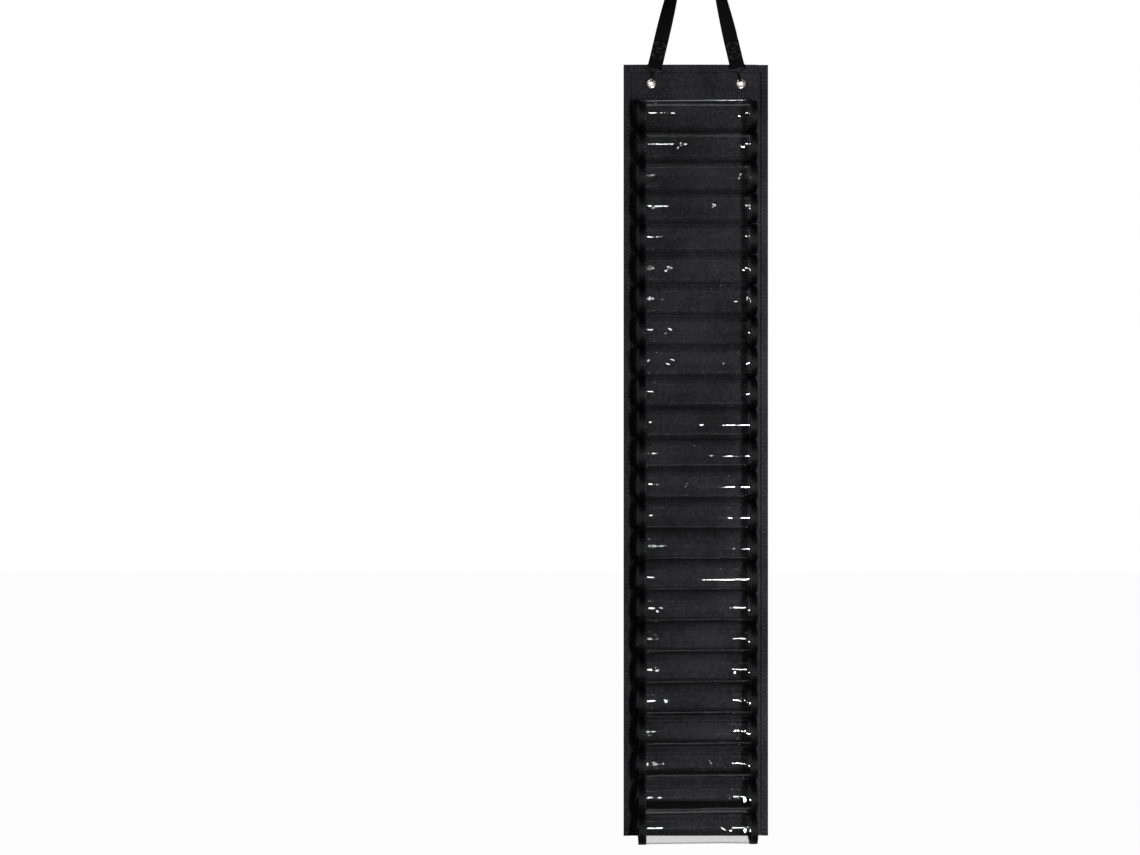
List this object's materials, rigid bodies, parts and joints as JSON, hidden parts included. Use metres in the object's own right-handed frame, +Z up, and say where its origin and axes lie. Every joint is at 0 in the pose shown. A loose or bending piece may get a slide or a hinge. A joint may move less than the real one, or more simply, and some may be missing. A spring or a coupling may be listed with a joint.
{
  "type": "over-door roll organizer",
  "caption": "Long cloth panel with a column of clear, open-ended pockets for rolls, hung by eyelets, wire hooks and a webbing strap from a bent steel hook that goes over a door.",
  "frame": {"origin": "underside of the steel hook's top, centred over the door's thickness", "axes": "+Z up, -Y out of the door's front face towards the viewer, +X to the viewer's right"},
  "size_m": [0.24, 0.1079, 1.59],
  "materials": {
    "bent_steel": "satin",
    "webbing": "woven",
    "nickel_wire": "polished",
    "nickel_eyelet": "polished",
    "cloth": "matt",
    "binding": "ribbed",
    "clear_sheet": "clear"
  },
  "bodies": {
    "door_hook": {"over_door_hook": "bent_steel"},
    "strap": {"hanging_strap": "webbing"},
    "hook_left": {"wire_hook_left": "nickel_wire"},
    "hook_right": {"wire_hook_right": "nickel_wire"},
    "panel": {"backing_panel": "cloth", "eyelet_left": "nickel_eyelet", "eyelet_right": "nickel_eyelet", "eyelet_washer_left": "nickel_eyelet", "eyelet_washer_right": "nickel_eyelet", "edge_tape_left": "binding", "edge_tape_right": "binding", "pocket_01": "clear_sheet", "pocket_02": "clear_sheet", "pocket_03": "clear_sheet", "pocket_04": "clear_sheet", "pocket_05": "clear_sheet", "pocket_06": "clear_sheet", "pocket_07": "clear_sheet", "pocket_08": "clear_sheet", "pocket_09": "clear_sheet", "pocket_10": "clear_sheet", "pocket_11": "clear_sheet", "pocket_12": "clear_sheet", "pocket_13": "clear_sheet", "pocket_14": "clear_sheet", "pocket_15": "clear_sheet", "pocket_16": "clear_sheet", "pocket_17": "clear_sheet", "pocket_18": "clear_sheet", "pocket_19": "clear_sheet", "pocket_20": "clear_sheet", "pocket_21": "clear_sheet", "pocket_22": "clear_sheet", "pocket_23": "clear_sheet", "pocket_24": "clear_sheet"}
  },
  "joints": [
    {"name": "strap_swing", "type": "hinge", "parent": "door_hook", "child": "strap", "pos_m": [0, -0.038, -0.07], "axis": [-1, 0, 0], "range_deg": [0, 30]},
    {"name": "hook_left_swing", "type": "hinge", "parent": "strap", "child": "hook_left", "pos_m": [-0.06805, -0.038, -0.30775], "axis": [-1, 0, 0], "range_deg": [0, 10]},
    {"name": "hook_right_swing", "type": "hinge", "parent": "strap", "child": "hook_right", "pos_m": [0.06805, -0.038, -0.30775], "axis": [-1, 0, 0], "range_deg": [0, 10]},
    {"name": "panel_swing", "type": "hinge", "parent": "hook_left", "child": "panel", "pos_m": [0, -0.0328, -0.33169], "axis": [-1, 0, 0], "range_deg": [0, 7]}
  ],
  "couplings": [
    {"joint": "hook_right_swing", "follows": "hook_left_swing", "ratio": 1}
  ]
}
